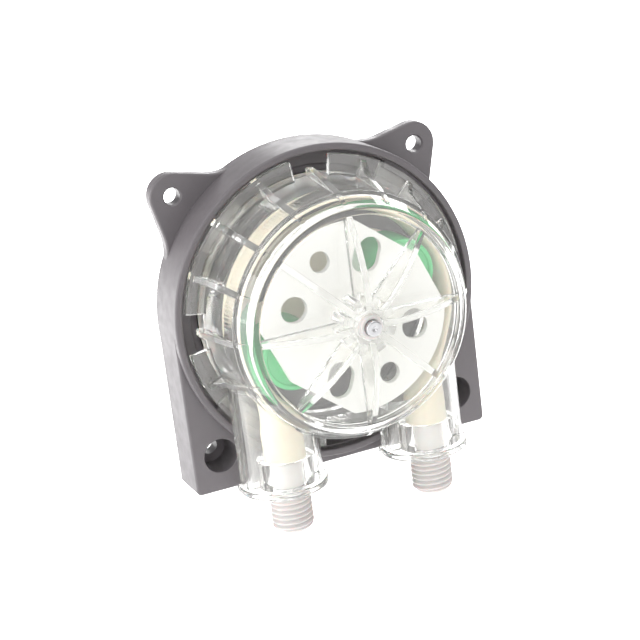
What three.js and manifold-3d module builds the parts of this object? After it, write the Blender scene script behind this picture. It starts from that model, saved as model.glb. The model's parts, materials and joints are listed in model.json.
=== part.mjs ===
// Peristaltic pump: a grey panel bracket, a clear twist-off head with the tube and its two
// threaded ports, a two-roller rotor and a gearmotor behind the bracket.
//
// Frame, in millimetres: the rotor axis is the Y axis, +Z is up, and the bracket's flat back
// face, which sits on the panel, is the plane y = 0. "Depth" is the distance in front of that
// face, so depth = -y, and a negative depth is behind the panel.

import * as THREE from 'three';
import { mergeVertices } from 'three/addons/utils/BufferGeometryUtils.js';
import Module from 'manifold-3d';

const wasm = await Module();
wasm.setup();

// ---------------------------------------------------------------- driving dimensions

const GAP = 0.3; // clearance between neighbouring pieces
const CUT = 1; // how far a cutting tool runs past the face it opens

// bracket
const BASE_R = 46;
const BASE_BOTTOM = -48;
const BASE_CORNER_R = 1.5;
const PLATE_FRONT = 14.2;
const RIM_FRONT = 16.4;
const RIM_INNER_R = 43.9;
const SHELL = 2.5;
const POCKET_TOP = -20;
const FLOOR_FRONT = 5;
const FLOOR_STEPS = [[43.4, 8.8], [39, 7], [34, FLOOR_FRONT]]; // radius, depth of its floor
const HOLE_X = 37.5;
const EAR_Z = 37;
const EAR_R = 6.6;
const EAR_THICK = 4.2;
const EAR_SPREAD = 58; // degrees each way round the ear's tip
const EAR_FOOT = 16.5; // degrees each way, where a flank's line meets the wall
const EAR_SWEEP = 22; // degrees each way, where a flank has swept into the wall
const EAR_BLEND = 0.35; // share of a flank that is sweep
const HOLE_R = 2.4;
const CORNER_Z = -37.5;
const COUNTERBORE_R = 4.85;
const COUNTERBORE_FLOOR = 4.2;

// shaft bearing, in a boss on the bracket's floor
const BEARING_R = 9.2;
const BEARING_OUTER_BORE_R = 7.6;
const BEARING_SHIELD_R = 7.3;
const BEARING_SHIELD_BORE_R = 5.6;
const BEARING_SHIELD_INSET = 0.4;
const BEARING_INNER_R = 5.3;
const BEARING_BACK = 5.5;
const BEARING_FRONT = 11.2;
const BEARING_BOSS_R = 12.5;
const BEARING_BOSS_FRONT = BEARING_FRONT + 0.2;
const SHAFT_HOLE_R = 7;

// bayonet between the bracket and the head
const TAB_INNER_R = 41.3;
const TAB_BACK = 11.5;
const TAB_FRONT = 13.6;
const TAB_ANGLES = [45, 135, 225, 315];
const TAB_SPAN = 24;
const LUG_R = 43.2;
const LUG_BACK = TAB_FRONT + GAP;
const LUG_FRONT = 16;
const LUG_SPAN = 74;

// gasket in the dish, under the head's skirt
const GASKET_R = 36.8;
const GASKET_BORE_R = 34.3;
const GASKET_BACK = 7.3;

// clear head
const SKIRT_BACK = 9.3;
const WALL_R = 37;
const RACE_R = 33.5;
const RACE_CHAMFER = 2;
const STEP_R = 35.4;
const STEP_DEPTH = 33;
const FRONT_R = 31.9;
const FRONT_DEPTH = 39.6;
const FACE_DEPTH = 37.2;
const FACE_R = 29.9;
const INNER_DEPTH = 35.2;
const FIN_THICK = 1.9;
const FIN_STEP = 22.5; // degrees from fin to fin
const FIN_GAP_R = 39.4; // reach of the fins that stand over a gap between lugs
const FIN_KNEE_R = 38.6;
const FIN_KNEE_DEPTH = 20.8;
const BOSS_R = 5;
const BOSS_FRONT = 45.2;
const GUSSET_THICK = 1.9;
const GUSSET_TOP = [[FACE_R, 39.4], [24, 42.6], [18, 45], [12, 46.2], [8.4, 46.4]]; // radius, depth
const STUB_REACH = 8.2; // the stubs stand round the boss, between the gussets
const STUB_WIDTH = 2.6;
const STUB_FRONT = 44.6;

// ports
const PORT_X = 22.25;
const PORT_DEPTH = 24.8;
const PORT_BACK = 16.9;
const PORT_HALF = 11.6;
const PORT_ARC_DEPTH = 21.5;
const PORT_TOP = -12;
const PORT_BOTTOM = -48.2;
const PORT_LIP = 1.1;
const PORT_LIP_HEIGHT = 2;
const PORT_SKIN = 1.8;
const HOLLOW_TOP = -17;
const SLEEVE_R = 8.2;
const SLEEVE_TOP = -38;

// tube
const TUBE_R = 5.85;
const TUBE_BORE_R = 4.1;
const TUBE_END = SLEEVE_TOP - 0.2;
const TUBE_MARGIN = 0.4; // room round the tube where it passes through the head's walls
const TUBE_ROUND_BELOW = -31;
const TUBE_FLAT_ABOVE = -17;
const BAND_R = 31.2; // centre of the flattened stretch on the raceway
const BAND_DEPTH = 23.6;
const BAND_THICK = 2;
const BAND_HALF_WIDTH = 6.9;
const BAND_END_ANGLE = 205;
const BAND_STEPS = 16;

// hose fittings: barb, shank, neck, collar and threaded nipple, from the top down
const FITTING_R = 4.9;
const FITTING_BORE_R = 3;
const BARB_TOP = -30.6;
const BARB_EDGE = -32.4;
const BARB_FOOT = -32.8;
const SHANK_BOTTOM = -46.1;
const NECK_R = 3.9;
const COLLAR_TOP = -49;
const COLLAR_R = 5.4;
const THREAD_R = 6;
const THREAD_ROOT_R = 5.15;
const THREAD_PITCH = 1.5;
const THREAD_TOP = -49.8;
const NIPPLE_END = -60;
const NIPPLE_CHAMFER = 0.9;
const NECK_RING_R = 5;
const NECK_RING_BORE_R = 4.25;
const NECK_RING_TOP = -46.5;
const NECK_RING_BOTTOM = -48.7;

// rotor
const ROLLER_ANGLES = [25, 205];
const ROLLER_R = 9.6;
const ROLLER_ORBIT = 19.3;
const ROLLER_BACK = 16.4;
const ROLLER_FRONT = 30.3;
const ROLLER_BORE_R = 2.1;
const ROLLER_EDGE = 0.6;
const ROLLER_PIN_R = 2;
const ROLLER_PIN_BACK = 14.6;
const ROLLER_PIN_FRONT = 33.2;
const LOBE_R = 12.7;
const LOBE_ORBIT = 14.4;
const HUB_R = 6.5;
const HUB_BACK = 12.5;
const YOKE_BACK = 13.5;
const YOKE_FLANGE_FRONT = 16.1;
const YOKE_FLANGE_R = 17.5;
const YOKE_FRONT = 32;
const WEB_HALF = 11;
const WEB_THICK = 3;
const PLATE_R = 27.5;
const PLATE_BACK = YOKE_FRONT + GAP;
const PLATE_FRONT_DEPTH = 34.3;
const PLATE_TRIMS = [[-2, 24.6], [27, 23.7]]; // degrees past a roller, distance from the axis
const PLATE_BOSS_R = 4.2;
const PLATE_BOSS_BACK = ROLLER_FRONT + GAP;
// Holes in the plate: degrees past a roller, distance from the axis and radius. The first two
// overlap in one long window, and the set repeats half a turn round.
const WINDOWS = [[45, 16.6, 3.4], [45, 19.7, 3.4], [90, 19.9, 3], [135, 18.7, 3.8]];
const SHAFT_R = 3;
const SHAFT_BACK = -12;
const SHAFT_SHOULDER = PLATE_FRONT_DEPTH + 0.1;
const SHAFT_TIP = 48;
const SHAFT_TIP_EDGE = 0.4;
const SHAFT_CENTRE_R = 0.7;
const JOURNAL_R = 2.25;
const CROSS_PIN_R = 1;
const CROSS_PIN_DEPTH = 22;
const CROSS_PIN_LENGTH = 11.4;
const BUSH_R = 3.6;
const BUSH_BORE_R = JOURNAL_R + 0.08;
const BUSH_COLLAR_R = 3.3;
const BUSH_FRONT = 46.4;

// gearmotor, behind the panel
const GEARBOX_R = 18.4;
const GEARBOX_LENGTH = 22;
const COVER_BACK = -6;
const SPIGOT_R = 6;
const SPIGOT_FRONT = 3;
const SHAFT_POCKET_BACK = -13;
const SCREW_ORBIT = 15.5;
const SCREW_ANGLES = [90, 210, 330];
const SCREW_R = 1.4;
const SCREW_HOLE_R = 1.75;
const SCREW_TIP = -5;
const SCREW_HEAD_R = 2.7;
const SCREW_HEAD_FRONT = 7.3;
const SCREW_SOCKET_R = 1.3;
const SCREW_SOCKET_FLOOR = 6;
const MOTOR_R = 16.5;
const MOTOR_EDGE = 1;
const MOTOR_END = 51;
const CAP_R = 14.9;
const CAP_EDGE = 0.6;
const CAP_END = 54;
const CAP_BOSS_R = 5;
const CAP_BOSS_END = 55.6;
const TERMINAL_X = 9;
const TERMINAL_THICK = 0.8;
const TERMINAL_WIDTH = 2.8;
const TERMINAL_END = 60;

// ---------------------------------------------------------------- materials

function plastic(color, roughness = 0.45) {
  return new THREE.MeshStandardMaterial({ color, roughness, metalness: 0 });
}

function metal(color, roughness = 0.3) {
  return new THREE.MeshStandardMaterial({ color, roughness, metalness: 1 });
}

const GREY = plastic(0x858086);
const WHITE = plastic(0xf1f0ec);
const GREEN = plastic(0x4fc07a);
const IVORY = plastic(0xe4dac4);
const NATURAL = plastic(0xe9e7e2, 0.35);
const CREAM = plastic(0xece0c6, 0.6);
const RUBBER = plastic(0x26262a, 0.8);
const BLACK = plastic(0x1d1d20, 0.5);
const STEEL = metal(0xb9babd);
const ZINC = metal(0x9a9ca0, 0.42);
const BRASS = metal(0xb9955a, 0.4);
const CLEAR = new THREE.MeshStandardMaterial({
  color: 0xe6ecd8, roughness: 0.08, metalness: 0, transparent: true, opacity: 0.35,
});

// ---------------------------------------------------------------- solids

const rad = THREE.MathUtils.degToRad;
const ORIGIN = new THREE.Vector2();

/** A manifold solid from a closed three.js geometry, turned outside out if need be. */
function solid(geometry) {
  const bare = geometry.index ? geometry.clone() : geometry;
  bare.deleteAttribute('normal');
  bare.deleteAttribute('uv');
  const merged = mergeVertices(bare, 1e-4);
  const vertProperties = new Float32Array(merged.attributes.position.array);
  const triVerts = new Uint32Array(merged.index.array);
  if (signedVolume(vertProperties, triVerts) < 0) {
    for (let i = 0; i < triVerts.length; i += 3) {
      [triVerts[i], triVerts[i + 1]] = [triVerts[i + 1], triVerts[i]];
    }
  }
  return new wasm.Manifold(new wasm.Mesh({ numProp: 3, vertProperties, triVerts }));
}

function signedVolume(vertices, triangles) {
  const corner = (i) => new THREE.Vector3().fromArray(vertices, triangles[i] * 3);
  let total = 0;
  for (let i = 0; i < triangles.length; i += 3) {
    total += corner(i).dot(corner(i + 1).cross(corner(i + 2)));
  }
  return total;
}

const join = (...solids) => solids.reduce((whole, next) => whole.add(next));
const cut = (whole, ...tools) => tools.reduce((left, tool) => left.subtract(tool), whole);

/** A shape drawn in X and Z, thickened from one depth to another. */
function slab(shape, from, to, curveSegments = 12) {
  const geometry = new THREE.ExtrudeGeometry(shape, {
    depth: to - from, bevelEnabled: false, curveSegments,
  });
  geometry.translate(0, 0, from);
  geometry.rotateX(Math.PI / 2);
  return solid(geometry);
}

/** A cylinder along the pump's axis direction. */
function disc(radius, from, to, { x = 0, z = 0, sides = 32 } = {}) {
  const geometry = new THREE.CylinderGeometry(radius, radius, to - from, sides);
  geometry.translate(x, -(from + to) / 2, z);
  return solid(geometry);
}

/** An upright cylinder at a port's or another vertical axis. */
function post(radius, bottom, top, { x = 0, depth = PORT_DEPTH, sides = 20 } = {}) {
  const geometry = new THREE.CylinderGeometry(radius, radius, top - bottom, sides);
  geometry.rotateX(Math.PI / 2);
  geometry.translate(x, -depth, (bottom + top) / 2);
  return solid(geometry);
}

function ring(outer, inner, from, to, options) {
  return cut(disc(outer, from, to, options), disc(inner, from - CUT, to + CUT, options));
}

function block(x0, x1, depth0, depth1, z0, z1) {
  const geometry = new THREE.BoxGeometry(x1 - x0, depth1 - depth0, z1 - z0);
  geometry.translate((x0 + x1) / 2, -(depth0 + depth1) / 2, (z0 + z1) / 2);
  return solid(geometry);
}

/** Part of a ring, centred on an angle in degrees, counted from +X towards +Z. */
function ringSector(inner, outer, centre, span, from, to) {
  const start = rad(centre - span / 2);
  const end = rad(centre + span / 2);
  const shape = new THREE.Shape();
  shape.absarc(0, 0, outer, start, end, false);
  shape.absarc(0, 0, inner, end, start, true);
  return slab(shape, from, to);
}

/** A closed profile of [radius, depth] points turned round the pump's axis. */
function turned(profile, sides = 56) {
  const points = profile.map(([r, depth]) => new THREE.Vector2(r, -depth));
  points.push(points[0].clone());
  return solid(new THREE.LatheGeometry(points, sides));
}

/** A closed profile of [radius, z] points turned round an upright axis. */
function turnedUpright(profile, x, sides = 20) {
  const points = profile.map(([r, z]) => new THREE.Vector2(r, z));
  points.push(points[0].clone());
  const geometry = new THREE.LatheGeometry(points, sides);
  geometry.rotateX(Math.PI / 2);
  geometry.translate(x, -PORT_DEPTH, 0);
  return solid(geometry);
}

/** Turns a solid by some degrees about the pump's axis, from +X towards +Z. */
const spun = (piece, degrees) => piece.rotate([0, -degrees, 0]);

const pump = new THREE.Group();

function place(name, piece, material) {
  const { numProp, vertProperties, triVerts } = piece.getMesh();
  const geometry = new THREE.BufferGeometry();
  geometry.setAttribute('position', new THREE.BufferAttribute(vertProperties, numProp));
  geometry.setIndex(new THREE.BufferAttribute(triVerts, 1));
  geometry.computeVertexNormals();
  const mesh = new THREE.Mesh(geometry, material);
  mesh.name = name;
  pump.add(mesh);
}

// ---------------------------------------------------------------- bracket

function bracketOutline(inset = 0) {
  const radius = BASE_R - inset;
  const bottom = BASE_BOTTOM + inset;
  const corner = new THREE.Vector2(radius - BASE_CORNER_R, bottom + BASE_CORNER_R);
  const shape = new THREE.Shape();
  shape.absarc(0, 0, radius, 0, Math.PI, false);
  shape.lineTo(-radius, corner.y);
  shape.absarc(-corner.x, corner.y, BASE_CORNER_R, Math.PI, 1.5 * Math.PI, false);
  shape.lineTo(corner.x, bottom);
  shape.absarc(corner.x, corner.y, BASE_CORNER_R, -Math.PI / 2, 0, false);
  shape.closePath();
  return shape;
}

/** A mounting ear: a round tip with straight flanks that sweep into the bracket's round wall. */
function ear(side) {
  const tip = new THREE.Vector2(HOLE_X, EAR_Z);
  const middle = tip.angle();
  const spread = rad(EAR_SPREAD);
  const polar = (radius, angle) => new THREE.Vector2(radius, 0).rotateAround(ORIGIN, angle);
  const flank = (turn) => {
    const foot = polar(BASE_R, middle + turn * rad(EAR_FOOT));
    const tangent = polar(EAR_R, middle + turn * spread).add(tip);
    return {
      inside: polar(BASE_R - EAR_R, middle + turn * rad(EAR_SWEEP)),
      wall: polar(BASE_R - 0.1, middle + turn * rad(EAR_SWEEP)),
      foot,
      blend: foot.clone().lerp(tangent, EAR_BLEND),
    };
  };
  const low = flank(-1);
  const high = flank(1);
  const shape = new THREE.Shape();
  shape.moveTo(low.inside.x, low.inside.y);
  shape.lineTo(low.wall.x, low.wall.y);
  shape.quadraticCurveTo(low.foot.x, low.foot.y, low.blend.x, low.blend.y);
  shape.absarc(tip.x, tip.y, EAR_R, middle - spread, middle + spread, false);
  shape.lineTo(high.blend.x, high.blend.y);
  shape.quadraticCurveTo(high.foot.x, high.foot.y, high.wall.x, high.wall.y);
  shape.lineTo(high.inside.x, high.inside.y);
  const plate = slab(shape, 0, EAR_THICK, 8);
  const hole = disc(HOLE_R, -CUT, EAR_THICK + CUT, { x: HOLE_X, z: EAR_Z, sides: 20 });
  const drilled = cut(plate, hole);
  return side > 0 ? drilled : drilled.mirror([1, 0, 0]);
}

/** The hollows behind the two lower corners, round the screw pillars. */
function cornerPockets() {
  const pillar = (x) => disc(COUNTERBORE_R + SHELL, -CUT, PLATE_FRONT, {
    x, z: CORNER_Z, sides: 28,
  });
  const lower = cut(
    slab(bracketOutline(SHELL), -CUT, PLATE_FRONT - SHELL),
    block(-BASE_R, BASE_R, -2 * CUT, PLATE_FRONT, POCKET_TOP, BASE_R),
  );
  const round = disc(BASE_R, -2 * CUT, PLATE_FRONT, { sides: 56 });
  return cut(lower, round, pillar(HOLE_X), pillar(-HOLE_X));
}

function screwHole(x) {
  const at = { x, z: CORNER_Z, sides: 24 };
  return join(
    disc(HOLE_R, -CUT, PLATE_FRONT, at),
    disc(COUNTERBORE_R, COUNTERBORE_FLOOR, PLATE_FRONT + CUT, at),
  );
}

function orbit(radius, degrees) {
  return { x: radius * Math.cos(rad(degrees)), z: radius * Math.sin(rad(degrees)) };
}

function bayonetTab(angle) {
  return ringSector(TAB_INNER_R, RIM_INNER_R + CUT, angle, TAB_SPAN, TAB_BACK, TAB_FRONT);
}

function bracket() {
  let body = join(
    slab(bracketOutline(), 0, PLATE_FRONT, 28),
    disc(BASE_R, 0, RIM_FRONT, { sides: 56 }),
    ear(1),
    ear(-1),
  );
  body = cut(body, disc(RIM_INNER_R, TAB_FRONT, RIM_FRONT + CUT, { sides: 56 }));
  for (const [radius, floor] of FLOOR_STEPS) {
    body = cut(body, disc(radius, floor, RIM_FRONT, { sides: 40 }));
  }
  body = join(
    body,
    ...TAB_ANGLES.map(bayonetTab),
    disc(BEARING_BOSS_R, FLOOR_FRONT - CUT, BEARING_BOSS_FRONT),
  );
  return cut(
    body,
    disc(BEARING_R + GAP, BEARING_BACK - GAP, RIM_FRONT),
    disc(SHAFT_HOLE_R, -CUT, RIM_FRONT),
    cornerPockets(),
    screwHole(HOLE_X),
    screwHole(-HOLE_X),
    ...gearboxScrewHoles(-CUT, RIM_FRONT),
  );
}

// ---------------------------------------------------------------- clear head

/** The round wall, the stepped shoulder and the recessed front face, as one turned shell. */
function headShell() {
  return turned([
    [RACE_R, SKIRT_BACK], [WALL_R, SKIRT_BACK], [WALL_R, LUG_BACK], [STEP_R, STEP_DEPTH],
    [STEP_R - 0.8, STEP_DEPTH + 0.4], [FRONT_R + 0.5, FRONT_DEPTH - 0.6],
    [FRONT_R, FRONT_DEPTH], [FACE_R, FRONT_DEPTH], [FACE_R, FACE_DEPTH], [BOSS_R - 1, FACE_DEPTH],
    [BOSS_R - 1, INNER_DEPTH], [RACE_R - RACE_CHAMFER, INNER_DEPTH],
    [RACE_R, INNER_DEPTH - RACE_CHAMFER],
  ], 56);
}

/** A plate that stands along a radius of the head: its outline is [radius, depth] points. */
function radialPlate(outline, thick, angle) {
  const shape = new THREE.Shape(outline.map(([r, depth]) => new THREE.Vector2(r, -depth)));
  const geometry = new THREE.ExtrudeGeometry(shape, { depth: thick, bevelEnabled: false });
  geometry.translate(0, 0, -thick / 2);
  return spun(solid(geometry), angle);
}

/** A fin between the flange and the shoulder. */
function fin(angle) {
  const overGap = angle % 90 === 0;
  const outer = overGap ? FIN_GAP_R : LUG_R - 1;
  const back = overGap ? LUG_BACK : LUG_FRONT - 1;
  return radialPlate([
    [WALL_R - 1.5, back], [outer, back], [outer, LUG_FRONT + 0.4], [FIN_KNEE_R, FIN_KNEE_DEPTH],
    [STEP_R + 0.1, STEP_DEPTH], [STEP_R - 1, STEP_DEPTH],
  ], FIN_THICK, angle);
}

/** A gusset that rises from the front rim to the boss, and holds the boss up. */
function gusset(angle) {
  const [rimR, rimDepth] = GUSSET_TOP[0];
  return radialPlate([
    [BOSS_R - 1, FACE_DEPTH - CUT], [rimR + 0.3, FACE_DEPTH - CUT], [rimR + 0.3, rimDepth],
    ...GUSSET_TOP, [BOSS_R - 1, BOSS_FRONT],
  ], GUSSET_THICK, angle);
}

/** A stub that stiffens the boss between two gussets. */
function stub(angle) {
  const half = STUB_WIDTH / 2;
  return spun(block(BOSS_R - 1, STUB_REACH, FACE_DEPTH - CUT, STUB_FRONT, -half, half), angle);
}

/** Plan of a port: flat at the back, round at the front. */
function portPlan(half, back) {
  const shape = new THREE.Shape();
  shape.moveTo(-half, back);
  shape.lineTo(half, back);
  shape.lineTo(half, PORT_ARC_DEPTH);
  shape.absarc(0, PORT_ARC_DEPTH, half, 0, Math.PI, false);
  shape.closePath();
  return shape;
}

/** A port plan raised from one height to another, at one side of the pump. */
function portPrism(half, back, bottom, top, x) {
  const geometry = new THREE.ExtrudeGeometry(portPlan(half, back), {
    depth: top - bottom, bevelEnabled: false, curveSegments: 14,
  });
  geometry.scale(1, -1, 1);
  geometry.translate(x, 0, bottom);
  return solid(geometry);
}

function portBody(x) {
  return join(
    portPrism(PORT_HALF, PORT_BACK, PORT_BOTTOM, PORT_TOP, x),
    portPrism(PORT_HALF + PORT_LIP, PORT_BACK, PORT_BOTTOM, PORT_BOTTOM + PORT_LIP_HEIGHT, x),
  );
}

function portHollow(x) {
  const floor = PORT_BOTTOM + PORT_LIP_HEIGHT;
  const hollow = portPrism(PORT_HALF - PORT_SKIN, PORT_BACK + PORT_SKIN, floor, HOLLOW_TOP, x);
  const sleeve = post(SLEEVE_R, PORT_BOTTOM, SLEEVE_TOP, { x });
  const bore = post(FITTING_R + GAP, PORT_BOTTOM - CUT, SLEEVE_TOP + CUT, { x });
  return join(cut(hollow, sleeve), bore);
}

function head() {
  const fins = [];
  for (let angle = 0; angle < 360; angle += FIN_STEP) {
    const besidePort = angle > 210 && angle < 330 && angle !== 270;
    if (!besidePort) fins.push(fin(angle));
  }
  const lugs = TAB_ANGLES.flatMap((angle) => [
    ringSector(WALL_R - 1, LUG_R, angle, LUG_SPAN, LUG_BACK, LUG_FRONT),
    ringSector(WALL_R - 1, LUG_R - GAP, angle, TAB_SPAN, SKIRT_BACK, TAB_BACK - GAP),
  ]);
  const stiffeners = TAB_ANGLES.flatMap((angle) => [
    gusset(angle), gusset(angle - 45), stub(angle - FIN_STEP), stub(angle + FIN_STEP),
  ]);
  const cavity = turned([
    [0, SKIRT_BACK - CUT], [RACE_R, SKIRT_BACK - CUT], [RACE_R, INNER_DEPTH - RACE_CHAMFER],
    [RACE_R - RACE_CHAMFER, INNER_DEPTH], [0, INNER_DEPTH],
  ], 56);
  const boss = join(disc(BOSS_R, INNER_DEPTH, BOSS_FRONT, { sides: 32 }), ...stiffeners);
  const outside = join(headShell(), ...lugs, ...fins, boss, portBody(-PORT_X), portBody(PORT_X));
  return cut(
    outside,
    cavity,
    portHollow(-PORT_X),
    portHollow(PORT_X),
    tubeSolid(TUBE_MARGIN),
    disc(BUSH_R + GAP, INNER_DEPTH - CUT, GUSSET_TOP.at(-1)[1] + CUT, { sides: 24 }),
  );
}

/** The flanged bush the shaft's journal turns in. */
function bush() {
  return turned([
    [BUSH_BORE_R, INNER_DEPTH], [BUSH_R, INNER_DEPTH], [BUSH_R, BOSS_FRONT],
    [BUSH_COLLAR_R, BOSS_FRONT], [BUSH_COLLAR_R, BUSH_FRONT], [BUSH_BORE_R, BUSH_FRONT],
  ], 20);
}

// ---------------------------------------------------------------- tube and fittings

/** The tube's route: up from one port, round the raceway and down to the other port. */
function tubeRoute() {
  const right = [
    [PORT_X, PORT_DEPTH, TUBE_END], [PORT_X, PORT_DEPTH, -33], [PORT_X + 0.4, 24.6, -27.5],
    [PORT_X + 2, 24.1, -22.5], [PORT_X + 4.3, BAND_DEPTH, -17.6],
  ].map(([x, depth, z]) => new THREE.Vector3(x, -depth, z));
  const left = right.map((p) => new THREE.Vector3(-p.x, p.y, p.z)).reverse();
  const band = [];
  const start = 180 - BAND_END_ANGLE;
  for (let step = 0; step <= BAND_STEPS; step += 1) {
    const { x, z } = orbit(BAND_R, start + (step / BAND_STEPS) * (BAND_END_ANGLE - start));
    band.push(new THREE.Vector3(x, -BAND_DEPTH, z));
  }
  return new THREE.CatmullRomCurve3([...right, ...band, ...left], false, 'centripetal');
}

/** The tube, round at the ports and pressed flat where the rollers run, grown by a margin. */
function tubeSolid(margin = 0) {
  const route = tubeRoute();
  const geometry = new THREE.CylinderGeometry(1, 1, 1, 12, 44);
  const position = geometry.attributes.position;
  const axis = new THREE.Vector3(0, 1, 0);
  for (let i = 0; i < position.count; i += 1) {
    const at = THREE.MathUtils.clamp(position.getY(i) + 0.5, 0, 1);
    const point = route.getPointAt(at);
    const across = route.getTangentAt(at).setY(0).normalize().cross(axis);
    const round = 1 - THREE.MathUtils.smoothstep(point.z, TUBE_ROUND_BELOW, TUBE_FLAT_ABOVE);
    const thick = THREE.MathUtils.lerp(BAND_THICK, TUBE_R, round) + margin;
    const wide = THREE.MathUtils.lerp(BAND_HALF_WIDTH, TUBE_R, round) + margin;
    point.addScaledVector(across, position.getX(i) * thick);
    point.addScaledVector(axis, position.getZ(i) * wide);
    position.setXYZ(i, point.x, point.y, point.z);
  }
  return solid(geometry);
}

function tube() {
  const end = (x) => post(TUBE_BORE_R, TUBE_END - CUT, BARB_TOP + CUT, { x });
  return cut(tubeSolid(), end(PORT_X), end(-PORT_X));
}

/** A hose fitting: barb in the tube, shank in the sleeve, neck, and a threaded nipple. */
function fitting(x) {
  const barb = TUBE_BORE_R - GAP;
  const spigot = barb - 0.4;
  const shankTop = TUBE_END - GAP;
  const profile = [
    [FITTING_BORE_R, BARB_TOP], [barb - 0.7, BARB_TOP], [barb, BARB_EDGE], [spigot, BARB_FOOT],
    [spigot, shankTop], [FITTING_R, shankTop], [FITTING_R, SHANK_BOTTOM], [NECK_R, SHANK_BOTTOM],
    [NECK_R, COLLAR_TOP], [COLLAR_R, COLLAR_TOP], [COLLAR_R, THREAD_TOP],
  ];
  for (let z = THREAD_TOP; z > NIPPLE_END + THREAD_PITCH; z -= THREAD_PITCH) {
    profile.push([THREAD_ROOT_R, z - 0.2], [THREAD_R, z - THREAD_PITCH / 2]);
  }
  profile.push([THREAD_ROOT_R, NIPPLE_END + NIPPLE_CHAMFER]);
  profile.push([THREAD_ROOT_R - NIPPLE_CHAMFER / 2, NIPPLE_END], [FITTING_BORE_R, NIPPLE_END]);
  return turnedUpright(profile, x);
}

function neckRing(x) {
  return turnedUpright([
    [NECK_RING_BORE_R, NECK_RING_TOP], [NECK_RING_R, NECK_RING_TOP],
    [NECK_RING_R, NECK_RING_BOTTOM], [NECK_RING_BORE_R, NECK_RING_BOTTOM],
  ], x);
}

// ---------------------------------------------------------------- rotor

/** The yoke: a lobed flange behind the rollers, a hub on the shaft and a web across it. */
function yoke() {
  const half = WEB_THICK / 2;
  const web = block(-WEB_HALF, WEB_HALF, YOKE_BACK, YOKE_FRONT, -half, half);
  const lobe = (angle) => disc(LOBE_R, YOKE_BACK, YOKE_FLANGE_FRONT, {
    ...orbit(LOBE_ORBIT, angle), sides: 28,
  });
  const pinHole = (angle) => disc(ROLLER_PIN_R + GAP, ROLLER_PIN_BACK - GAP, YOKE_FRONT, {
    ...orbit(ROLLER_ORBIT, angle), sides: 20,
  });
  return cut(
    join(
      disc(YOKE_FLANGE_R, YOKE_BACK, YOKE_FLANGE_FRONT),
      ...ROLLER_ANGLES.map(lobe),
      disc(HUB_R, HUB_BACK, YOKE_FRONT),
      spun(web, ROLLER_ANGLES[0] + 90),
    ),
    disc(SHAFT_R + GAP, HUB_BACK - CUT, YOKE_FRONT + CUT, { sides: 20 }),
    ...ROLLER_ANGLES.map(pinHole),
    crossPin(GAP),
  );
}

/** The pin that drives the hub from the shaft. */
function crossPin(margin = 0) {
  const radius = CROSS_PIN_R + margin;
  const length = CROSS_PIN_LENGTH + 4 * margin;
  const geometry = new THREE.CylinderGeometry(radius, radius, length, 12);
  geometry.rotateZ(Math.PI / 2);
  geometry.translate(0, -CROSS_PIN_DEPTH, 0);
  return spun(solid(geometry), ROLLER_ANGLES[0] + 90);
}

function plateFlat(angle, distance) {
  const flat = block(distance, BASE_R, PLATE_BACK - CUT, PLATE_FRONT_DEPTH + CUT, -BASE_R, BASE_R);
  return spun(flat, angle);
}

/** The front plate: a disc trimmed flat beyond each roller, with windows and two pin bosses. */
function frontPlate() {
  let plate = disc(PLATE_R, PLATE_BACK, PLATE_FRONT_DEPTH, { sides: 48 });
  for (const roller of ROLLER_ANGLES) {
    for (const [turn, distance] of PLATE_TRIMS) {
      plate = cut(plate, plateFlat(roller + turn, distance));
    }
    for (const [turn, distance, radius] of WINDOWS) {
      plate = cut(plate, disc(radius, PLATE_BACK - CUT, PLATE_FRONT_DEPTH + CUT, {
        ...orbit(distance, roller + turn), sides: 20,
      }));
    }
    const pin = { ...orbit(ROLLER_ORBIT, roller), sides: 20 };
    plate = join(plate, disc(PLATE_BOSS_R, PLATE_BOSS_BACK, PLATE_BACK + CUT, pin));
    plate = cut(plate, disc(ROLLER_PIN_R + GAP, PLATE_BOSS_BACK - CUT, ROLLER_PIN_FRONT + GAP, pin));
  }
  return cut(plate, disc(SHAFT_R + GAP, PLATE_BACK - CUT, PLATE_FRONT_DEPTH + CUT, { sides: 20 }));
}

function roller(angle) {
  const { x, z } = orbit(ROLLER_ORBIT, angle);
  return turned([
    [ROLLER_BORE_R, ROLLER_BACK], [ROLLER_R - ROLLER_EDGE, ROLLER_BACK],
    [ROLLER_R, ROLLER_BACK + ROLLER_EDGE], [ROLLER_R, ROLLER_FRONT - ROLLER_EDGE],
    [ROLLER_R - ROLLER_EDGE, ROLLER_FRONT], [ROLLER_BORE_R, ROLLER_FRONT],
  ], 28).translate([x, 0, z]);
}

function rollerPin(angle) {
  return disc(ROLLER_PIN_R, ROLLER_PIN_BACK, ROLLER_PIN_FRONT, {
    ...orbit(ROLLER_ORBIT, angle), sides: 20,
  });
}

/** The shaft, with a thinner front journal and a centre mark in its tip. */
function driveShaft() {
  const shaft = turned([
    [0, SHAFT_BACK], [SHAFT_R, SHAFT_BACK], [SHAFT_R, SHAFT_SHOULDER],
    [JOURNAL_R, SHAFT_SHOULDER], [JOURNAL_R, SHAFT_TIP - SHAFT_TIP_EDGE],
    [JOURNAL_R - SHAFT_TIP_EDGE, SHAFT_TIP], [SHAFT_CENTRE_R, SHAFT_TIP],
    [0, SHAFT_TIP - SHAFT_CENTRE_R],
  ], 20);
  return cut(shaft, crossPin(GAP));
}

// ---------------------------------------------------------------- gearmotor

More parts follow.
